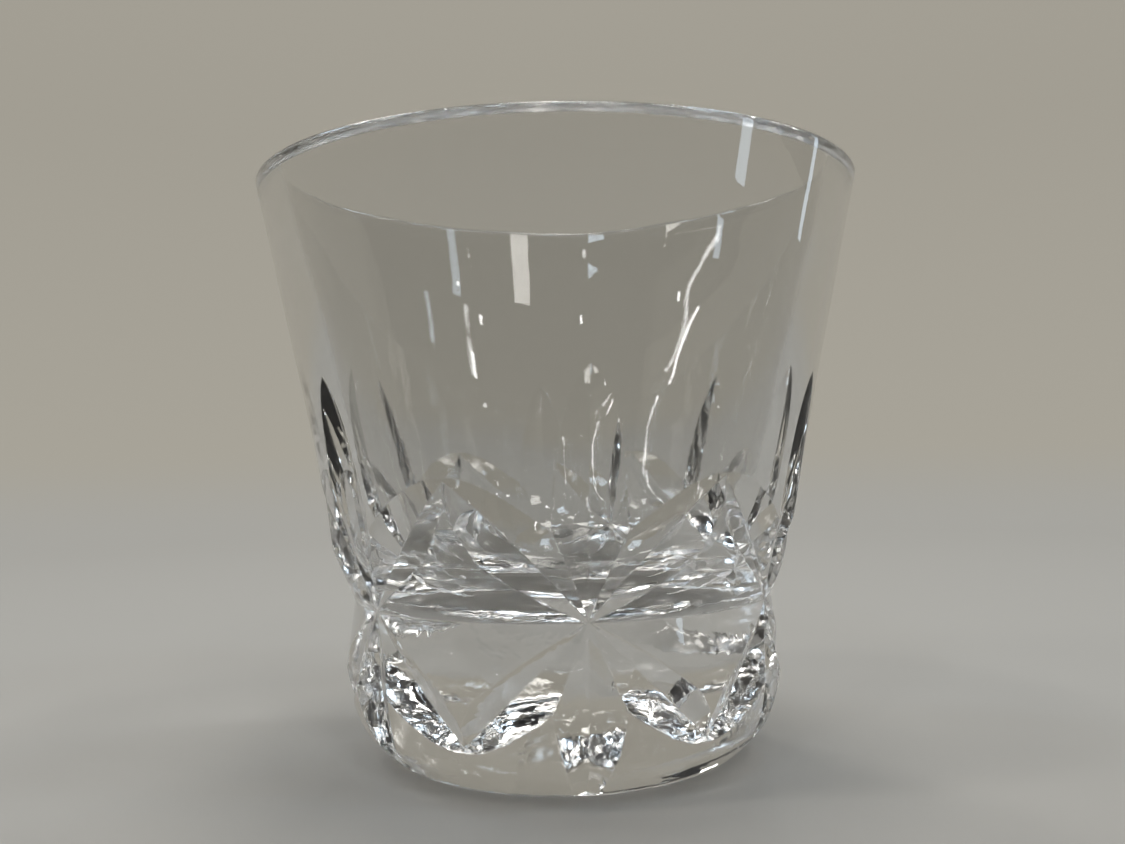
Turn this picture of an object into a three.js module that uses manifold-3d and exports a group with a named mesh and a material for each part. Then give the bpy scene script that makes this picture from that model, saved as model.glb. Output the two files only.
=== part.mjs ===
// Cut crystal whiskey tumbler: one solid body of glass.
// A thrown blank (plain flared wall, heavy base, rounded heel) is a lathe solid.
// Six eight-rayed stars are then cut into its lower half with a V-edged wheel:
// each star has a long upright cut and two diagonal cuts that cross at a node on
// the waist, and one V groove runs round the waist through all six nodes.
// Millimetres, +Z up, origin at the centre of the flat resting face.
import * as THREE from "three";
import { mergeVertices } from "three/addons/utils/BufferGeometryUtils.js";
import Module from "manifold-3d";

// ---- driving dimensions (mm, degrees) ----
const HEIGHT = 90; // rim to table
const RIM_RADIUS = 47.3; // outside of the lip
const LIP_WIDTH = 4.8; // width of the flat polished top of the wall
const LIP_ROUND = 0.6; // rounding of its two edges
const FLOOR_HEIGHT = 24; // glass under the middle of the bowl
const STARS = 6; // stars round the glass
const FIRST_STAR_DEG = 5.7; // azimuth of the front star, from -Y towards +X
const NODE_HEIGHT = 25.2; // height of the star centres and of the waist groove
const WAIST_RADIUS = 33.1; // bottom of the waist groove
const V_SLOPE = 0.36; // rise of a V flank for each mm sideways: a 140 degree V
const V_REACH = 13; // half width of the cutting V
const LATHE_STEPS = 72;

// Outside of the uncut blank: [height, radius], from the resting face to the lip.
const OUTSIDE = [
  [0.0, 23.8], [0.35, 25.9], [1.3, 27.8], [2.6, 29.3], [4.2, 30.9], [6.0, 32.2],
  [8.0, 33.1], [10.0, 33.75], [12.5, 34.3], [16.0, 34.7], [20.0, 34.95], [25.2, 35.25],
  [33.0, 36.4], [40.0, 37.5], [50.0, 39.25], [57.6, 40.75], [65.0, 42.3], [72.0, 43.75],
  [80.0, 45.35], [88.7, 47.25],
];
// Inside of the bowl: [height, radius], from under the lip down to the floor.
const INSIDE = [
  [89.4, 42.5], [83.3, 41.0], [76.4, 39.25], [69.2, 37.55], [63.0, 36.1], [57.6, 34.8],
  [50.0, 33.0], [42.0, 30.9], [37.0, 29.3], [33.0, 27.5], [30.0, 25.2], [27.8, 22.0],
  [26.2, 17.2], [25.0, 11.0], [24.2, 5.0], [24.0, 0.0],
];
// Depth of each cut under the blank's surface along its own length.
// Upright cut: [height, depth].
const UPRIGHT = [
  [60.2, -0.9], [59.2, -0.12], [58.8, 0.08], [57.6, 0.48], [54.0, 1.17], [49.5, 1.63],
  [43.5, 2.0], [37.0, 2.17], [31.0, 2.18], [25.2, 2.19], [19.0, 2.22], [13.0, 2.11],
  [8.5, 1.73], [5.5, 1.3], [3.0, 0.93], [1.0, 0.71], [-0.6, 0.63],
];
// Diagonal cuts: share of the way from the node to the tip, and depth.
const DIAGONAL = [
  [0.0, 2.19], [0.15, 2.19], [0.3, 2.19], [0.45, 2.09], [0.6, 1.86], [0.72, 1.61],
  [0.82, 1.29], [0.9, 0.92], [0.96, 0.52], [1.0, 0.1], [1.04, -0.5],
];
const TIP_UP = { az: 30.2, z: 44.4 }; // upper tips, shared with the next star
const TIP_DOWN = { az: 30.2, z: 8.0 }; // lower tips
const GROOVE_TOP = 33.0; // where the waist groove's flanks leave the glass
const GROOVE_BOTTOM = 14.8;
const GROOVE_OVER = 3; // how far the grooving ring stands outside the glass

// ---- geometry helpers ----
const wasm = await Module();
wasm.setup();

// A closed geometry as a manifold-3d solid.
function solid(geometry) {
  const g = geometry.clone();
  for (const name of Object.keys(g.attributes)) if (name !== "position") g.deleteAttribute(name);
  const m = mergeVertices(g, 1e-5);
  return new wasm.Manifold(
    new wasm.Mesh({
      numProp: 3,
      vertProperties: m.attributes.position.array,
      triVerts: new Uint32Array(m.index.array),
    }),
  );
}

// A manifold-3d solid as a three.js geometry with flat shading normals.
function geometryOf(body) {
  const m = body.getMesh();
  const g = new THREE.BufferGeometry();
  g.setAttribute("position", new THREE.BufferAttribute(new Float32Array(m.vertProperties), 3));
  g.setIndex(new THREE.BufferAttribute(new Uint32Array(m.triVerts), 1));
  const flat = g.toNonIndexed();
  flat.computeVertexNormals();
  return flat;
}

// Monotone cubic (Fritsch-Carlson) through sorted [x, y] points.
function curve(points) {
  const p = [...points].sort((a, b) => a[0] - b[0]);
  const n = p.length;
  const d = [];
  for (let i = 0; i < n - 1; i++) d.push((p[i + 1][1] - p[i][1]) / (p[i + 1][0] - p[i][0]));
  const m = [d[0]];
  for (let i = 1; i < n - 1; i++) m.push(d[i - 1] * d[i] <= 0 ? 0 : (2 * d[i - 1] * d[i]) / (d[i - 1] + d[i]));
  m.push(d[n - 2]);
  return (x) => {
    if (x <= p[0][0]) return p[0][1] + m[0] * (x - p[0][0]);
    if (x >= p[n - 1][0]) return p[n - 1][1] + m[n - 1] * (x - p[n - 1][0]);
    let i = 0;
    while (x > p[i + 1][0]) i++;
    const h = p[i + 1][0] - p[i][0];
    const t = (x - p[i][0]) / h;
    const a = t * t;
    const b = a * t;
    return (
      (2 * b - 3 * a + 1) * p[i][1] + (b - 2 * a + t) * h * m[i] +
      (3 * a - 2 * b) * p[i + 1][1] + (b - a) * h * m[i + 1]
    );
  };
}

const outsideAt = curve(OUTSIDE);

// A body of revolution about Z from [radius, height] points, axis to axis or closed.
function lathe(profile, steps) {
  const g = new THREE.LatheGeometry(profile.map(([r, z]) => new THREE.Vector2(r, z)), steps);
  g.rotateX(Math.PI / 2);
  return g;
}

// Point on the blank's surface at azimuth a (radians, from -Y towards +X) and height z,
// with its outward normal.
function onBlank(a, z) {
  const zz = Math.max(z, 0.6);
  const r = outsideAt(zz);
  const slope = (outsideAt(zz + 0.05) - outsideAt(zz - 0.05)) / 0.1;
  const out = new THREE.Vector3(Math.sin(a), -Math.cos(a), 0);
  const normal = out.clone().addScaledVector(new THREE.Vector3(0, 0, 1), -slope).normalize();
  const point = out.clone().multiplyScalar(r).setZ(z);
  return { point, normal };
}

// A V-edged cutter swept along stations {apex, normal, side}: the V opens outwards.
function wedge(stations) {
  const position = [];
  const ring = stations.map(({ apex, normal, side }) => {
    const rise = V_SLOPE * V_REACH;
    return [
      apex.clone(),
      apex.clone().addScaledVector(side, V_REACH).addScaledVector(normal, rise),
      apex.clone().addScaledVector(side, V_REACH).addScaledVector(normal, rise + 6),
      apex.clone().addScaledVector(side, -V_REACH).addScaledVector(normal, rise + 6),
      apex.clone().addScaledVector(side, -V_REACH).addScaledVector(normal, rise),
    ];
  });
  const tri = (a, b, c) => position.push(a.x, a.y, a.z, b.x, b.y, b.z, c.x, c.y, c.z);
  for (let i = 0; i < ring.length - 1; i++)
    for (let k = 0; k < 5; k++) {
      const l = (k + 1) % 5;
      tri(ring[i][k], ring[i][l], ring[i + 1][l]);
      tri(ring[i][k], ring[i + 1][l], ring[i + 1][k]);
    }
  for (let k = 1; k < 4; k++) {
    tri(ring[0][0], ring[0][k + 1], ring[0][k]);
    const e = ring[ring.length - 1];
    tri(e[0], e[k], e[k + 1]);
  }
  const g = new THREE.BufferGeometry();
  g.setAttribute("position", new THREE.Float32BufferAttribute(position, 3));
  const made = solid(g);
  if (made.volume() > 0) return made;
  const turned = [];
  for (let i = 0; i < position.length; i += 9)
    turned.push(...position.slice(i, i + 3), ...position.slice(i + 6, i + 9), ...position.slice(i + 3, i + 6));
  const h = new THREE.BufferGeometry();
  h.setAttribute("position", new THREE.Float32BufferAttribute(turned, 3));
  return solid(h);
}

// Stations along a path of {az, z, depth}, azimuth in degrees.
function stationsOf(path, first) {
  const at = path.map(({ az, z, depth }) => {
    const { point, normal } = onBlank(THREE.MathUtils.degToRad(first + az), z);
    return { apex: point.addScaledVector(normal, -depth), normal };
  });
  return at.map(({ apex, normal }, i) => {
    const ahead = at[Math.min(i + 1, at.length - 1)].apex.clone().sub(at[Math.max(i - 1, 0)].apex).normalize();
    const side = new THREE.Vector3().crossVectors(normal, ahead).normalize();
    return { apex, normal, side };
  });
}

// ---- the blank ----
const lip = [];
for (const [from, middle] of [
  [0, RIM_RADIUS - LIP_ROUND],
  [Math.PI / 2, RIM_RADIUS - LIP_WIDTH + LIP_ROUND],
])
  for (let i = 0; i <= 3; i++) {
    const t = from + (i / 3) * (Math.PI / 2);
    lip.push([middle + LIP_ROUND * Math.cos(t), HEIGHT - LIP_ROUND + LIP_ROUND * Math.sin(t)]);
  }
const outer = [];
for (const z of [0, 0.35, 1.3, 2.6, 4.2, 6, 8.5, 12, 16, 20, 25.2, 33, 42, 52, 62, 75, 86])
  outer.push([outsideAt(z), z]);
const insideAt = curve(INSIDE);
const inner = [];
for (const z of [84, 75, 66, 57, 49, 42, 37, 33.5, 31, 29, 27.4, 26.1, 25.1]) inner.push([insideAt(z), z]);
inner.push([insideAt(FLOOR_HEIGHT + 0.5), FLOOR_HEIGHT + 0.5], [0, FLOOR_HEIGHT]);
let body = solid(lathe([[0, 0], ...outer, ...lip, ...inner], LATHE_STEPS));

// ---- the cuts ----
const uprightDepth = curve(UPRIGHT);
const diagonalDepth = curve(DIAGONAL);
const uprightZ = [60.2, 58.8, 57, 52, 45, 36, 25.2, 15, 9, 5, 2, -0.6];
const shares = [0, 0.35, 0.65, 0.85, 0.96, 1.04];
for (let k = 0; k < STARS; k++) {
  const first = FIRST_STAR_DEG + (360 / STARS) * k;
  const upright = uprightZ.map((z) => ({ az: 0, z, depth: uprightDepth(z) }));
  body = body.subtract(wedge(stationsOf(upright, first)));
  for (const way of [1, -1]) {
    const path = [];
    for (const s of [...shares].reverse().slice(0, -1))
      path.push({
        az: -way * TIP_DOWN.az * s,
        z: NODE_HEIGHT + (TIP_DOWN.z - NODE_HEIGHT) * s,
        depth: diagonalDepth(s),
      });
    for (const s of shares)
      path.push({
        az: way * TIP_UP.az * s,
        z: NODE_HEIGHT + (TIP_UP.z - NODE_HEIGHT) * s,
        depth: diagonalDepth(s),
      });
    body = body.subtract(wedge(stationsOf(path, first)));
  }
}
// Waist groove: its flanks pass from the groove's bottom through the blank's surface.
const topR = outsideAt(GROOVE_TOP);
const bottomR = outsideAt(GROOVE_BOTTOM);
const run = (z0, r0, z1, r1, z) => r0 + ((r1 - r0) * (z - z0)) / (z1 - z0);
const up = GROOVE_TOP + 2;
const down = GROOVE_BOTTOM - 2;
const ringProfile = [
  [WAIST_RADIUS, NODE_HEIGHT],
  [run(NODE_HEIGHT, WAIST_RADIUS, GROOVE_BOTTOM, bottomR, down), down],
  [outsideAt(up) + GROOVE_OVER, down],
  [outsideAt(up) + GROOVE_OVER, up],
  [run(NODE_HEIGHT, WAIST_RADIUS, GROOVE_TOP, topR, up), up],
  [WAIST_RADIUS, NODE_HEIGHT],
];
body = body.subtract(solid(lathe(ringProfile, LATHE_STEPS)));

// ---- the part ----
const crystal = new THREE.MeshStandardMaterial({
  color: 0xdfe2e0,
  roughness: 0.03,
  metalness: 0.0,
  transparent: true,
  opacity: 0.35,
});
const tumbler = new THREE.Mesh(geometryOf(body), crystal);
tumbler.name = "tumbler";

const part = new THREE.Group();
part.add(tumbler);

export default part;
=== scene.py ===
import math

import bpy
import numpy as np
from mathutils import Matrix, Vector
from mathutils.bvhtree import BVHTree


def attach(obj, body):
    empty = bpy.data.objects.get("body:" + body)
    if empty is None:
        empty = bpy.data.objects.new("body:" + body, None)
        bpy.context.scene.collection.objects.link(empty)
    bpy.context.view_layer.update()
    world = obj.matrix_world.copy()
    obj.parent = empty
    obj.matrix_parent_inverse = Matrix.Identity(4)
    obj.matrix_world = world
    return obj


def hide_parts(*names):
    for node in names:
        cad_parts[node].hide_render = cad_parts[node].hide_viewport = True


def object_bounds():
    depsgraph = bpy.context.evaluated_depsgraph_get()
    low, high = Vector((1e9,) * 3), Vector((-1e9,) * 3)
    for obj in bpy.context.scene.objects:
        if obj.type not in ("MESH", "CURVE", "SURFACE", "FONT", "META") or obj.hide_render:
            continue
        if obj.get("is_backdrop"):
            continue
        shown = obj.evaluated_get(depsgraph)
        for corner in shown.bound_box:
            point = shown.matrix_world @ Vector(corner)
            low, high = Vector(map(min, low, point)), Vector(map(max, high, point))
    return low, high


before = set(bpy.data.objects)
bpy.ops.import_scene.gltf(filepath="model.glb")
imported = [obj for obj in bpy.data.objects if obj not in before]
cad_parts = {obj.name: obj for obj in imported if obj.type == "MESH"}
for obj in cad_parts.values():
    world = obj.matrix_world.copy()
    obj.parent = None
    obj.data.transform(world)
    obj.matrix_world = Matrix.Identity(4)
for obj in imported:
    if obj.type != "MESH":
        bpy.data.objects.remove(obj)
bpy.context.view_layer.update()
MM = 0.001

# ---- dimensions, in millimetres and degrees, as in the CAD part ----
HEIGHT = 90.0
RIM_RADIUS = 47.3
LIP_WIDTH = 4.8
LIP_ROUND = 0.6
FLOOR_HEIGHT = 24.0
STARS = 6
FIRST_STAR_DEG = 5.7
NODE_HEIGHT = 25.2
WAIST_RADIUS = 33.1
V_SLOPE = 0.36
V_REACH = 13.0
LATHE_STEPS = 288

OUTSIDE = [
    (0.0, 23.8), (0.35, 25.9), (1.3, 27.8), (2.6, 29.3), (4.2, 30.9), (6.0, 32.2),
    (8.0, 33.1), (10.0, 33.75), (12.5, 34.3), (16.0, 34.7), (20.0, 34.95), (25.2, 35.25),
    (33.0, 36.4), (40.0, 37.5), (50.0, 39.25), (57.6, 40.75), (65.0, 42.3), (72.0, 43.75),
    (80.0, 45.35), (88.7, 47.25),
]
INSIDE = [
    (89.4, 42.5), (83.3, 41.0), (76.4, 39.25), (69.2, 37.55), (63.0, 36.1), (57.6, 34.8),
    (50.0, 33.0), (42.0, 30.9), (37.0, 29.3), (33.0, 27.5), (30.0, 25.2), (27.8, 22.0),
    (26.2, 17.2), (25.0, 11.0), (24.2, 5.0), (24.0, 0.0),
]
UPRIGHT = [
    (60.2, -0.9), (59.2, -0.12), (58.8, 0.08), (57.6, 0.48), (54.0, 1.17), (49.5, 1.63),
    (43.5, 2.0), (37.0, 2.17), (31.0, 2.18), (25.2, 2.19), (19.0, 2.22), (13.0, 2.11),
    (8.5, 1.73), (5.5, 1.3), (3.0, 0.93), (1.0, 0.71), (-0.6, 0.63),
]
DIAGONAL = [
    (0.0, 2.19), (0.15, 2.19), (0.3, 2.19), (0.45, 2.09), (0.6, 1.86), (0.72, 1.61),
    (0.82, 1.29), (0.9, 0.92), (0.96, 0.52), (1.0, 0.1), (1.04, -0.5),
]
TIP_UP = (30.2, 44.4)
TIP_DOWN = (30.2, 8.0)
GROOVE_TOP = 33.0
GROOVE_BOTTOM = 14.8
GROOVE_OVER = 3.0


# ---- curves ----
def curve(points):
    """Monotone cubic through (x, y) points."""
    p = sorted(points)
    x = np.array([a for a, _ in p])
    y = np.array([b for _, b in p])
    d = np.diff(y) / np.diff(x)
    m = np.zeros(len(x))
    m[0], m[-1] = d[0], d[-1]
    for i in range(1, len(x) - 1):
        m[i] = 0 if d[i - 1] * d[i] <= 0 else 2 * d[i - 1] * d[i] / (d[i - 1] + d[i])

    def at(t):
        t = np.asarray(t, float)
        i = np.clip(np.searchsorted(x, t, side="right") - 1, 0, len(x) - 2)
        h = x[i + 1] - x[i]
        s = (t - x[i]) / h
        a, b = s * s, s * s * s
        inner = (
            (2 * b - 3 * a + 1) * y[i] + (b - 2 * a + s) * h * m[i]
            + (3 * a - 2 * b) * y[i + 1] + (b - a) * h * m[i + 1]
        )
        low = y[0] + m[0] * (t - x[0])
        high = y[-1] + m[-1] * (t - x[-1])
        return np.where(t < x[0], low, np.where(t > x[-1], high, inner))

    return at


outside_at = curve(OUTSIDE)


def slope_at(z):
    return (outside_at(z + 0.05) - outside_at(z - 0.05)) / 0.1


def spline(points, count):
    """Natural cubic spline through 2-D points, sampled evenly along its length."""
    p = np.array(points, float)
    t = np.concatenate([[0], np.cumsum(np.hypot(*np.diff(p, axis=0).T))])
    n = len(t)
    h = np.diff(t)
    a = np.zeros((n, n))
    rhs = np.zeros((n, 2))
    a[0, 0] = a[-1, -1] = 1
    for i in range(1, n - 1):
        a[i, i - 1], a[i, i], a[i, i + 1] = h[i - 1], 2 * (h[i - 1] + h[i]), h[i]
        rhs[i] = 6 * ((p[i + 1] - p[i]) / h[i] - (p[i] - p[i - 1]) / h[i - 1])
    m = np.linalg.solve(a, rhs)

    def at(s):
        i = np.clip(np.searchsorted(t, s, side="right") - 1, 0, n - 2)
        u, v = (t[i + 1] - s)[:, None], (s - t[i])[:, None]
        k = h[i][:, None]
        return (
            m[i] * u**3 / (6 * k) + m[i + 1] * v**3 / (6 * k)
            + (p[i] / k - m[i] * k / 6) * u + (p[i + 1] / k - m[i + 1] * k / 6) * v
        )

    s = np.linspace(0, t[-1], 4000)
    q = at(s)
    run = np.concatenate([[0], np.cumsum(np.hypot(*np.diff(q, axis=0).T))])
    s = np.interp(np.linspace(0, run[-1], count), run, s)
    return at(s)


def dense(path):
    """A finely sampled profile with its unit normal on the left of the way it runs."""
    d = np.gradient(path, axis=0)
    d /= np.hypot(d[:, 0], d[:, 1])[:, None]
    return path, np.stack([d[:, 1], -d[:, 0]], 1)


# ---- the profile (radius, height), running up the outside, over the lip and down the bowl ----
lip_z = HEIGHT - LIP_ROUND
lean_out = math.atan((OUTSIDE[-1][1] - OUTSIDE[-2][1]) / (OUTSIDE[-1][0] - OUTSIDE[-2][0]))
lean_in = math.atan((INSIDE[0][1] - INSIDE[1][1]) / (INSIDE[0][0] - INSIDE[1][0]))


def edge_arc(middle, start, end):
    t = np.linspace(start, end, 151)
    return np.stack([middle + LIP_ROUND * np.cos(t), lip_z + LIP_ROUND * np.sin(t)], 1)


lip_flat = np.linspace(RIM_RADIUS - LIP_ROUND, RIM_RADIUS - LIP_WIDTH + LIP_ROUND, 101)[1:-1]
lip_path = np.concatenate([
    edge_arc(RIM_RADIUS - LIP_ROUND, -lean_out, math.pi / 2),
    np.stack([lip_flat, np.full(99, HEIGHT)], 1),
    edge_arc(RIM_RADIUS - LIP_WIDTH + LIP_ROUND, math.pi / 2, math.pi - lean_in),
])
z_line = np.concatenate([np.linspace(0, 12, 1200), np.linspace(12, lip_path[0, 1], 1800)[1:]])
out_path = np.stack([outside_at(z_line), z_line], 1)
# the last stretch eases into the lip's tangent
blend = np.clip((z_line - 78) / (lip_path[0, 1] - 78), 0, 1) ** 2
out_path[:, 0] += blend * (lip_path[0, 0] - out_path[-1, 0])
smooth = np.ones(61) / 61
wall = z_line > 14
for _ in range(2):
    r = out_path[:, 0].copy()
    padded = np.concatenate([2 * r[0] - r[30:0:-1], r, 2 * r[-1] - r[-2:-32:-1]])
    soft = np.convolve(padded, smooth, "valid")
    out_path[:, 0] = np.where(wall, soft, r)
in_points = [(lip_path[-1, 0], lip_path[-1, 1])] + [(r, z) for z, r in INSIDE[1:]]
in_points += [(-r, z) for z, r in INSIDE[-2:-6:-1]]
in_path = spline(in_points, 6000)
in_path = in_path[: np.argmax(in_path[:, 0] < 0)]
in_path = np.concatenate([in_path, [[0.0, in_path[-1, 1]]]])
skin = np.concatenate([out_path, lip_path[1:], in_path[1:]])
skin, skin_normal = dense(skin)
for _ in range(3):  # slope steps between the profile's pieces are polished away
    skin_normal[1:-1] = (skin_normal[:-2] + skin_normal[1:-1] + skin_normal[2:]) / 3
skin_normal[-1] = (0, 1)
skin_normal /= np.hypot(skin_normal[:, 0], skin_normal[:, 1])[:, None]


def lathe_mesh(path, steps):
    """Closed quads about Z from a (radius, height) path that starts and ends on the axis."""
    ring = path[1:-1]
    a = np.arange(steps) * 2 * math.pi / steps
    verts = [(0, 0, path[0][1])]
    for r, z in ring:
        verts += list(zip(r * np.cos(a), r * np.sin(a), np.full(steps, z)))
    verts.append((0, 0, path[-1][1]))
    faces = []
    last = len(verts) - 1
    nxt = np.roll(np.arange(steps), -1)
    for k in range(steps):
        faces.append((0, 1 + nxt[k], 1 + k))
    for i in range(len(ring) - 1):
        lo, hi = 1 + i * steps, 1 + (i + 1) * steps
        faces += [(lo + k, lo + nxt[k], hi + nxt[k], hi + k) for k in range(steps)]
    lo = 1 + (len(ring) - 1) * steps
    for k in range(steps):
        faces.append((lo + k, lo + nxt[k], last))
    return verts, faces


def new_mesh(name, verts, faces):
    me = bpy.data.meshes.new(name)
    me.from_pydata([tuple(map(float, v)) for v in verts], [], [tuple(map(int, f)) for f in faces])
    me.update()
    return me


# ---- wheel cuts ----
def on_blank(az, z):
    a = math.radians(az)
    zz = max(z, 0.6)
    out = np.array([math.sin(a), -math.cos(a), 0.0])
    n = out - float(slope_at(zz)) * np.array([0, 0, 1.0])
    p = out * float(outside_at(zz))
    p[2] = z
    return p, n / np.linalg.norm(n)


def stations_of(path):
    apex, normal = [], []
    for az, z, depth in path:
        p, n = on_blank(az, z)
        apex.append(p - n * depth)
        normal.append(n)
    apex, normal = np.array(apex), np.array(normal)
    ahead = np.empty_like(apex)
    ahead[1:-1] = apex[2:] - apex[:-2]
    ahead[0], ahead[-1] = apex[1] - apex[0], apex[-1] - apex[-2]
    ahead /= np.linalg.norm(ahead, axis=1)[:, None]
    side = np.cross(normal, ahead)
    side /= np.linalg.norm(side, axis=1)[:, None]
    return apex, normal, side


flanks = []  # smooth reference surfaces: [vertices, faces, vertex normals]


def keep_flank(rows, flip):
    """Keeps a grid of points (stations x across) as a reference surface."""
    rows = np.array(rows)
    n, m, _ = rows.shape
    d1 = np.gradient(rows, axis=0)
    d2 = np.gradient(rows, axis=1)
    normal = np.cross(d1, d2)
    normal /= np.linalg.norm(normal, axis=2)[:, :, None]
    normal *= flip
    verts = rows.reshape(-1, 3)
    faces = []
    for i in range(n - 1):
        for j in range(m - 1):
            a, b, c, d = i * m + j, i * m + j + 1, (i + 1) * m + j + 1, (i + 1) * m + j
            faces += [(a, b, c), (a, c, d)]
    flanks.append((verts, faces, normal.reshape(-1, 3)))


def wedge(path):
    """A V-edged cutter along a path of (azimuth, height, depth)."""
    apex, normal, side = stations_of(path)
    rise = V_SLOPE * V_REACH
    right = apex + side * V_REACH + normal * rise
    left = apex - side * V_REACH + normal * rise
    verts = np.stack([apex, right, right + normal * 6, left + normal * 6, left], 1).reshape(-1, 3)
    faces = []
    n = len(apex)
    for i in range(n - 1):
        for k in range(5):
            a, b = i * 5 + k, i * 5 + (k + 1) % 5
            c, d = b + 5, a + 5
            faces += [(a, b, c), (a, c, d)]
    for k in range(1, 4):
        faces.append((0, k + 1, k))
        e = (n - 1) * 5
        faces.append((e, e + k, e + k + 1))
    for far in (right, left):
        keep_flank(np.stack([apex, far], 1), 1.0)
        v, f, nn = flanks[-1]
        outward = np.repeat(normal, 2, axis=0)
        if np.sum(nn * outward) < 0:
            nn *= -1
    return verts, faces


upright_depth, diagonal_depth = curve(UPRIGHT), curve(DIAGONAL)
cutters = []
up_z = np.concatenate([[60.2, 59.7, 59.2], np.linspace(58.8, 1.0, 60), [0.2, -0.6]])
shares = np.concatenate([np.linspace(0, 0.9, 22), [0.93, 0.96, 0.98, 1.0, 1.02, 1.04]])
for k in range(STARS):
    first = FIRST_STAR_DEG + 360 / STARS * k
    cutters.append(wedge([(first, z, float(upright_depth(z))) for z in up_z]))
    for way in (1, -1):
        path = [
            (first - way * TIP_DOWN[0] * s, NODE_HEIGHT + (TIP_DOWN[1] - NODE_HEIGHT) * s, float(diagonal_depth(s)))
            for s in shares[:0:-1]
        ] + [
            (first + way * TIP_UP[0] * s, NODE_HEIGHT + (TIP_UP[1] - NODE_HEIGHT) * s, float(diagonal_depth(s)))
            for s in shares
        ]
        cutters.append(wedge(path))


def run(z0, r0, z1, r1, z):
    return r0 + (r1 - r0) * (z - z0) / (z1 - z0)


top_r, bottom_r = float(outside_at(GROOVE_TOP)), float(outside_at(GROOVE_BOTTOM))
groove_up, groove_down = GROOVE_TOP + 2, GROOVE_BOTTOM - 2
far_r = float(outside_at(groove_up)) + GROOVE_OVER
ring = [
    (run(NODE_HEIGHT, WAIST_RADIUS, GROOVE_BOTTOM, bottom_r, groove_down), groove_down),
    (far_r, groove_down),
    (far_r, groove_up),
    (run(NODE_HEIGHT, WAIST_RADIUS, GROOVE_TOP, top_r, groove_up), groove_up),
    (WAIST_RADIUS, NODE_HEIGHT),
]


def ring_mesh(path, steps):
    a = np.arange(steps) * 2 * math.pi / steps
    verts = []
    for r, z in path:
        verts += list(zip(r * np.cos(a), r * np.sin(a), np.full(steps, z)))
    n = len(path)
    faces = []
    for i in range(n):
        lo, hi = i * steps, ((i + 1) % n) * steps
        for k in range(steps):
            l = (k + 1) % steps
            faces.append((lo + k, lo + l, hi + l, hi + k))
    return verts, faces


for r0, z0, r1, z1 in (
    (WAIST_RADIUS, NODE_HEIGHT, ring[3][0], ring[3][1]),
    (ring[0][0], ring[0][1], WAIST_RADIUS, NODE_HEIGHT),
):
    a = np.linspace(0, 2 * math.pi, 181)
    rows = [[(r * math.cos(t), r * math.sin(t), z) for r, z in ((r0, z0), (r1, z1))] for t in a]
    keep_flank(rows, 1.0)
    v, f, nn = flanks[-1]
    lean = (r1 - r0) / (z1 - z0)
    flat = v.copy()
    flat[:, 2] = 0
    flat /= np.linalg.norm(flat, axis=1)[:, None]
    nn[:] = flat - lean * np.array([0, 0, 1.0])
    nn /= np.linalg.norm(nn, axis=1)[:, None]

# ---- the blank, then the cuts ----
rows_out = np.concatenate([
    [0, 0.12, 0.35, 0.7, 1.1, 1.6, 2.2, 2.9, 3.7, 4.6, 5.6, 6.7, 7.9, 9.2, 10.6, 12.2],
    np.linspace(14, 86.5, 46), [lip_path[0, 1]],
])
outer = [(float(np.interp(z, skin[:3000, 1], skin[:3000, 0])), float(z)) for z in rows_out]
lip = [tuple(lip_path[i]) for i in (*range(19, 151, 19), 150, 200, 250, *range(269, 400, 19), 400)]
bowl = [tuple(in_path[i]) for i in np.linspace(0, len(in_path) - 1, 64).astype(int)[1:]]
base = [(0.0, 0.0)] + [(r, 0.0) for r in (6.0, 12.0, 18.0)]
verts, faces = lathe_mesh(base + outer + lip + bowl, LATHE_STEPS)
blank = bpy.data.objects.new("blank", new_mesh("blank", np.array(verts) * MM, faces))
bpy.context.scene.collection.objects.link(blank)

tools = []
plain = [bpy.data.materials.new("tag_blank"), bpy.data.materials.new("tag_cut")]
blank.data.materials.append(plain[0])
for name, (v, f) in [(f"cut_{i}", c) for i, c in enumerate(cutters)] + [("cut_ring", ring_mesh(ring, LATHE_STEPS))]:
    me = new_mesh(name, np.array(v) * MM, f)
    o = bpy.data.objects.new(name, me)
    bpy.context.scene.collection.objects.link(o)
    # faces outwards
    vol = 0.0
    co = np.array([q.co for q in me.vertices])
    for p in me.polygons:
        i = list(p.vertices)
        for a, b in zip(i[1:-1], i[2:]):
            vol += np.dot(co[i[0]], np.cross(co[a], co[b]))
    if vol < 0:
        me.flip_normals()
    me.materials.append(plain[1])
    tools.append(o)
for o in tools:
    mod = blank.modifiers.new(o.name, "BOOLEAN")
    mod.operation = "DIFFERENCE"
    mod.object = o
    mod.solver = "MANIFOLD"
    mod.material_mode = "TRANSFER"
graph = bpy.context.evaluated_depsgraph_get()
made = bpy.data.meshes.new_from_object(blank.evaluated_get(graph))
made.name = "tumbler_crystal"
print("cut mesh:", len(made.vertices), "vertices,", len(made.polygons), "faces", [m.name for m in made.materials if m])
for o in tools + [blank]:
    me = o.data
    bpy.data.objects.remove(o)
    bpy.data.meshes.remove(me)

# ---- exact normals ----
count = len(made.polygons)
co = np.zeros(len(made.vertices) * 3)
made.vertices.foreach_get("co", co)
co = co.reshape(-1, 3) / MM
start = np.zeros(count, int)
total = np.zeros(count, int)
made.polygons.foreach_get("loop_start", start)
made.polygons.foreach_get("loop_total", total)
index = np.zeros(count, int)
made.polygons.foreach_get("material_index", index)
names = [m.name if m else "" for m in made.materials]
is_cut = np.array([names[i] == "tag_cut" for i in index])
corner = np.zeros(len(made.loops), int)
made.loops.foreach_get("vertex_index", corner)
centre = np.array([co[corner[s : s + t]].mean(0) for s, t in zip(start, total)])
normals = np.zeros((len(made.loops), 3))

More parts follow.
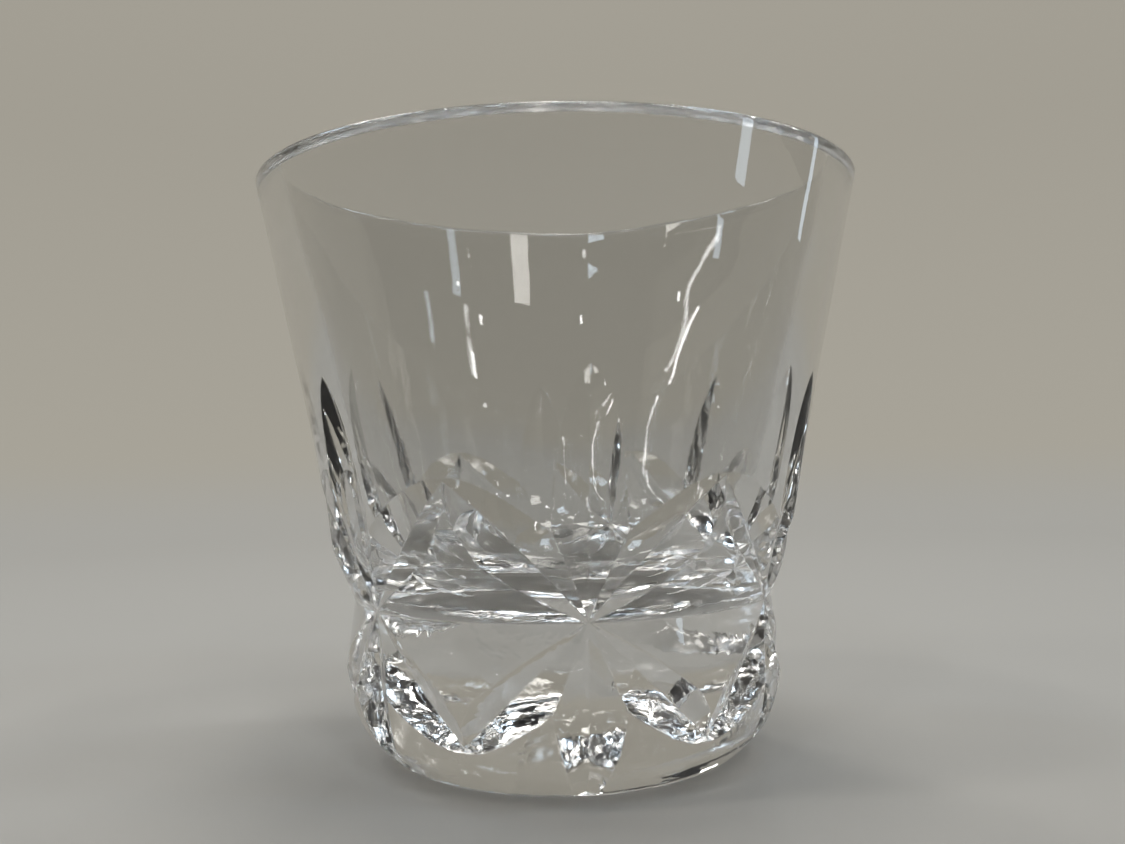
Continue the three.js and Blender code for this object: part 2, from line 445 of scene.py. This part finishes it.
# blank: bottom face, and the smooth skin
radius = np.hypot(co[:, 0], co[:, 1])
skin_at = np.zeros((len(co), 2))
rz = np.stack([radius, co[:, 2]], 1)
for s in range(0, len(co), 2000):
    part = rz[s : s + 2000]
    near = ((part[:, None, :] - skin[None, ::2, :]) ** 2).sum(2).argmin(1) * 2
    skin_at[s : s + 2000] = skin_normal[near]
around = np.where(radius[:, None] > 1e-6, co[:, :2] / np.maximum(radius, 1e-6)[:, None], 0)
skin3 = np.concatenate([around * skin_at[:, :1], skin_at[:, 1:]], 1)
for f in np.nonzero(~is_cut)[0]:
    ls = slice(start[f], start[f] + total[f])
    if centre[f, 2] < 1e-4:
        normals[ls] = (0, 0, -1)
    else:
        normals[ls] = skin3[corner[ls]]

# cuts: the flank that a face lies on, then the flank's own normal at each corner
trees = [BVHTree.FromPolygons([tuple(p) for p in v], f) for v, f, _ in flanks]
reach = np.array([[v.min(0) - 0.2, v.max(0) + 0.2] for v, _, _ in flanks])
face_normal = np.zeros(count * 3)
made.polygons.foreach_get("normal", face_normal)
face_normal = face_normal.reshape(-1, 3)


def normal_on(k, p):
    v, f, nn = flanks[k]
    at, _, i, _ = trees[k].find_nearest(Vector(p))
    a, b, c = (v[j] for j in f[i])
    at = np.array(at)
    e0, e1, e2 = b - a, c - a, at - a
    d00, d01, d11 = e0 @ e0, e0 @ e1, e1 @ e1
    d20, d21 = e2 @ e0, e2 @ e1
    den = d00 * d11 - d01 * d01
    s, t = ((d11 * d20 - d01 * d21) / den, (d00 * d21 - d01 * d20) / den) if den > 1e-12 else (0, 0)
    n = nn[f[i][0]] * (1 - s - t) + nn[f[i][1]] * s + nn[f[i][2]] * t
    return n / np.linalg.norm(n)


far = 0
for f in np.nonzero(is_cut)[0]:
    c = centre[f]
    best = None
    for k in np.nonzero(np.all((c > reach[:, 0]) & (c < reach[:, 1]), 1))[0]:
        away = trees[k].find_nearest(Vector(c))[3]
        if away < 0.25:
            n = normal_on(k, c)
            cost = away + 2 * (1 - abs(n @ face_normal[f]))
            if best is None or cost < best[0]:
                best = (cost, k)
    ls = range(start[f], start[f] + total[f])
    if best is None or best[0] > 0.25:
        far += 1
        normals[list(ls)] = face_normal[f]
        continue
    for l in ls:
        n = normal_on(best[1], co[corner[l]])
        normals[l] = n if n @ face_normal[f] > 0 else -n
print("cut faces off their flanks:", far, "of", int(is_cut.sum()))
odd = np.array([normals[s] @ n for s, n in zip(start, face_normal)])
print("faces turned from their normals:", int((odd < 0.9).sum()), "of", count)

made.materials.clear()
for m in plain:
    bpy.data.materials.remove(m)
made.polygons.foreach_set("material_index", np.zeros(count, np.int32))
made.polygons.foreach_set("use_smooth", np.ones(count, bool))
made.normals_split_custom_set([tuple(n) for n in normals])
made.update()
tumbler = bpy.data.objects.new("tumbler_crystal", made)
bpy.context.scene.collection.objects.link(tumbler)


# ---- the crystal ----
def crystal_material():
    m = bpy.data.materials.new("crystal")
    m.use_nodes = True
    nt = m.node_tree
    b = nt.nodes["Principled BSDF"]
    b.inputs["Base Color"].default_value = (0.80, 0.802, 0.795, 1)
    b.inputs["Transmission Weight"].default_value = 1.0
    b.inputs["IOR"].default_value = 1.545
    b.inputs["Roughness"].default_value = 0.0
    at = nt.nodes.new("ShaderNodeTexCoord")
    # slow waves left by the making, a few micrometres high
    wave = nt.nodes.new("ShaderNodeTexNoise")
    wave.inputs["Scale"].default_value = 55.0
    wave.inputs["Detail"].default_value = 1.5
    wave.inputs["Roughness"].default_value = 0.4
    bump = nt.nodes.new("ShaderNodeBump")
    bump.inputs["Strength"].default_value = 1.0
    bump.inputs["Distance"].default_value = 0.00012
    nt.links.new(at.outputs["Object"], wave.inputs["Vector"])
    nt.links.new(wave.outputs["Fac"], bump.inputs["Height"])
    # ripples left in the cut half by the wheel and the acid polish, fading out up the wall
    ripple = nt.nodes.new("ShaderNodeTexNoise")
    ripple.inputs["Scale"].default_value = 260.0
    ripple.inputs["Detail"].default_value = 2.5
    ripple.inputs["Roughness"].default_value = 0.45
    ripple.inputs["Distortion"].default_value = 0.6
    split = nt.nodes.new("ShaderNodeSeparateXYZ")
    fade = nt.nodes.new("ShaderNodeMapRange")
    fade.interpolation_type = "SMOOTHSTEP"
    fade.inputs["From Min"].default_value = 0.022
    fade.inputs["From Max"].default_value = 0.058
    fade.inputs["To Min"].default_value = 1.0
    fade.inputs["To Max"].default_value = 0.06
    ripples = nt.nodes.new("ShaderNodeBump")
    ripples.inputs["Distance"].default_value = 0.00007
    nt.links.new(at.outputs["Object"], ripple.inputs["Vector"])
    nt.links.new(at.outputs["Object"], split.inputs["Vector"])
    nt.links.new(split.outputs["Z"], fade.inputs["Value"])
    nt.links.new(fade.outputs["Result"], ripples.inputs["Strength"])
    nt.links.new(ripple.outputs["Fac"], ripples.inputs["Height"])
    # polished creases: the wheel's edges are rounded a little
    edge = nt.nodes.new("ShaderNodeBevel")
    edge.samples = 4
    edge.inputs["Radius"].default_value = 0.0004
    nt.links.new(edge.outputs["Normal"], ripples.inputs["Normal"])
    nt.links.new(ripples.outputs["Normal"], bump.inputs["Normal"])
    nt.links.new(bump.outputs["Normal"], b.inputs["Normal"])
    return m


made.materials.append(crystal_material())
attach(tumbler, "root")
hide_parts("tumbler")


# ---- stage ----
def paper_material(name):
    """Pale paper underfoot that turns into an evenly lit grey-beige wall."""
    m = bpy.data.materials.new(name)
    m.use_nodes = True
    nt = m.node_tree
    b = nt.nodes["Principled BSDF"]
    b.inputs["Roughness"].default_value = 0.9
    b.inputs["Specular IOR Level"].default_value = 0.1
    b.inputs["Emission Strength"].default_value = 1.0
    at = nt.nodes.new("ShaderNodeTexCoord")
    split = nt.nodes.new("ShaderNodeSeparateXYZ")
    nt.links.new(at.outputs["Object"], split.inputs["Vector"])
    for socket, low, high in (
        ("Base Color", FLOOR_PAPER, WALL_PAPER),
        ("Emission Color", FLOOR_GLOW, WALL_GLOW),
    ):
        rise = nt.nodes.new("ShaderNodeMapRange")
        rise.interpolation_type = "SMOOTHSTEP"
        rise.inputs["From Min"].default_value = 0.0
        rise.inputs["From Max"].default_value = 0.05
        mix = nt.nodes.new("ShaderNodeMix")
        mix.data_type = "RGBA"
        mix.inputs["A"].default_value = (*low, 1)
        mix.inputs["B"].default_value = (*high, 1)
        nt.links.new(split.outputs["Z"], rise.inputs["Value"])
        nt.links.new(rise.outputs["Result"], mix.inputs["Factor"])
        nt.links.new(mix.outputs["Result"], b.inputs[socket])
    return m


FLOOR_PAPER, FLOOR_GLOW = (0.33, 0.318, 0.295), (0.01, 0.0095, 0.0085)
WALL_PAPER, WALL_GLOW = (0.09, 0.085, 0.075), (0.285, 0.267, 0.227)

# floor that sweeps up all round into a wall; the wall has low gaps that leave dark between
# its pale panels, and is open above
FLAT, SWEEP, WALL, WALL_FRONT, WALL_LOW = 0.42, 0.3, 0.46, 0.22, 0.09
steps = 240
turns = np.arange(steps) * 2 * math.pi / steps
bearing = np.degrees(np.arctan2(np.cos(turns), -np.sin(turns)))  # from -Y towards +X
top = np.interp(bearing, *np.array([
    (-180, WALL), (-55, WALL), (-48, WALL_LOW), (6, WALL_LOW), (12, WALL_FRONT),
    (78, WALL_FRONT), (84, WALL_LOW), (104, WALL_LOW), (112, WALL), (180, WALL),
]).T)
sv = [(0, 0, 0)]
rings = 0
for r in (0.06, 0.12, 0.2, 0.3, FLAT):
    sv += [(r * math.cos(t), r * math.sin(t), 0) for t in turns]
    rings += 1
for q in np.linspace(0, math.pi / 2, 25)[1:]:
    sv += [
        ((FLAT + SWEEP * math.sin(q)) * math.cos(t), (FLAT + SWEEP * math.sin(q)) * math.sin(t), min(SWEEP, h) * (1 - math.cos(q)))
        for t, h in zip(turns, top)
    ]
    rings += 1
for q in np.linspace(0, 1, 5)[1:]:
    sv += [
        ((FLAT + SWEEP) * math.cos(t), (FLAT + SWEEP) * math.sin(t), min(SWEEP, h) + q * (h - min(SWEEP, h) + 0.001))
        for t, h in zip(turns, top)
    ]
    rings += 1
sf = [(0, 1 + k, 1 + (k + 1) % steps) for k in range(steps)]
for i in range(rings - 1):
    lo, hi = 1 + i * steps, 1 + (i + 1) * steps
    sf += [(lo + k, hi + k, hi + (k + 1) % steps, lo + (k + 1) % steps) for k in range(steps)]
stage_mesh = new_mesh("stage_sweep", np.array(sv) + np.array([0, 0, -0.0002]), sf)
stage_mesh.polygons.foreach_set("use_smooth", np.ones(len(stage_mesh.polygons), bool))
stage_mesh.materials.append(paper_material("stage_paper"))
stage = bpy.data.objects.new("stage_sweep", stage_mesh)
bpy.context.scene.collection.objects.link(stage)
stage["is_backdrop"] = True

world = bpy.data.worlds.new("studio")
bpy.context.scene.world = world
world.use_nodes = True
world.node_tree.nodes["Background"].inputs["Color"].default_value = (0.012, 0.012, 0.013, 1)
world.node_tree.nodes["Background"].inputs["Strength"].default_value = 1.0


def area(name, place, target, size, radiance, colour=(1, 1, 1)):
    """A rectangular lamp of a given size in metres and a given brightness."""
    data = bpy.data.lights.new(name, "AREA")
    data.shape = "RECTANGLE"
    data.size, data.size_y = size
    data.energy = radiance * math.pi * size[0] * size[1]
    data.color = colour
    o = bpy.data.objects.new(name, data)
    o.location = place
    o.rotation_mode = "QUATERNION"
    o.rotation_quaternion = (Vector(target) - Vector(place)).to_track_quat("-Z", "Y")
    o.visible_camera = False
    bpy.context.scene.collection.objects.link(o)
    return o


def toward(azimuth, elevation, distance=1.0):
    """A place seen from the glass: azimuth from -Y towards +X, elevation above the table."""
    a, e = math.radians(azimuth), math.radians(elevation)
    return (distance * math.sin(a) * math.cos(e), -distance * math.cos(a) * math.cos(e), 0.05 + distance * math.sin(e))


def strip(name, one, other, width, radiance, colour=(1, 1, 1)):
    """A long thin lamp from one place to the other, facing the glass."""
    one, other = Vector(one), Vector(other)
    place = (one + other) / 2
    o = area(name, place, (0, 0, 0.05), ((other - one).length, width), radiance, colour)
    back = (place - Vector((0, 0, 0.05))).normalized()
    along = (other - one).normalized()
    rise = back.cross(along).normalized()
    along = rise.cross(back)
    o.rotation_quaternion = Matrix((along, rise, back)).transposed().to_quaternion()
    return o


AT = (0, 0, 0.05)
COOL = (0.72, 0.86, 1.0)
WARM = (1.0, 0.97, 0.92)
# soft light from above, in separate boxes with dark between them
area("overhead", (0.05, 0.05, 1.25), AT, (0.36, 0.36), 11.0, WARM)
for k in range(8):
    azimuth = 22 + 45 * k
    area(f"box_low_{k}", toward(azimuth, 41 + 3 * (k % 2), 1.0), AT, (0.13, 0.15), 10.0, COOL if k % 2 else WARM)
for k in range(6):
    azimuth = 5 + 60 * k
    area(f"box_high_{k}", toward(azimuth, 62, 1.0), AT, (0.1, 0.13), 13.0, WARM if k % 2 else COOL)
# windows and lamps whose reflections stand in the wall of the bowl
strip("tube_left", toward(-90, 30.5, 0.6), toward(-62, 22.5, 0.6), 0.007, 24.0)
area("pane_right", toward(74.5, 26, 0.6), AT, (0.022, 0.018), 9.0, COOL)
area("pane_right_2", toward(50.5, 27, 0.6), AT, (0.022, 0.02), 14.0)
area("pane_right_3", toward(55, 30.5, 0.6), AT, (0.018, 0.010), 24.0)
area("window_right", toward(62, 44, 0.7), AT, (0.05, 0.2), 6.0, COOL)
for name, azimuth, low, high, wide, light in (
    ("glint_right", 64, 0.064, 0.19, 0.020, 5.0),
    ("glint_right_low", 58, 0.034, 0.052, 0.012, 5.0),
    ("glint_right_far", 98, 0.071, 0.17, 0.010, 4.0),
):
    a = math.radians(azimuth)
    middle = (0.27 * math.sin(a), -0.27 * math.cos(a), (low + high) / 2)
    glint = area(name, middle, (0, 0, (low + high) / 2), (wide, high - low), light, COOL)
    glint.visible_transmission = False
    glint.visible_diffuse = False
# small bright lamps for the sparkle of the cuts
for k in range(10):
    azimuth, elevation = 12 + 36 * k, 51 + 5 * (k % 3)
    area(f"lamp_{k}", toward(azimuth, elevation, 1.0), AT, (0.035, 0.035), 90)
for k in range(6):
    area(f"spark_{k}", toward(-75 + 61 * k, 33 + 2 * (k % 2), 0.9), AT, (0.02, 0.02), 90)

# ---- camera ----
cam_data = bpy.data.cameras.new("camera")
cam_data.sensor_width = 36.0
cam_data.lens = 34.07
cam_data.clip_start, cam_data.clip_end = 0.005, 20
cam = bpy.data.objects.new("camera", cam_data)
pitch, yaw, roll = 0.0225, 0.0024, -0.0185
fwd = Vector((math.sin(yaw) * math.cos(pitch), math.cos(yaw) * math.cos(pitch), math.sin(pitch)))
right = Vector((math.cos(yaw), -math.sin(yaw), 0))
up = right.cross(fwd)
r2 = right * math.cos(roll) + up * math.sin(roll)
u2 = -right * math.sin(roll) + up * math.cos(roll)
turn = Matrix((r2, u2, -fwd)).transposed()
cam.rotation_mode = "QUATERNION"
cam.rotation_quaternion = turn.to_quaternion()
cam.location = (0, -0.17357, 0.04862)
bpy.context.scene.collection.objects.link(cam)
bpy.context.scene.camera = cam

# ---- render behaviour ----
sc = bpy.context.scene
sc.view_settings.view_transform = "Standard"
sc.cycles.max_bounces = 28
sc.cycles.transmission_bounces = 24
sc.cycles.glossy_bounces = 16
sc.cycles.sample_clamp_indirect = 20.0

bpy.context.view_layer.update()
lo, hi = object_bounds()
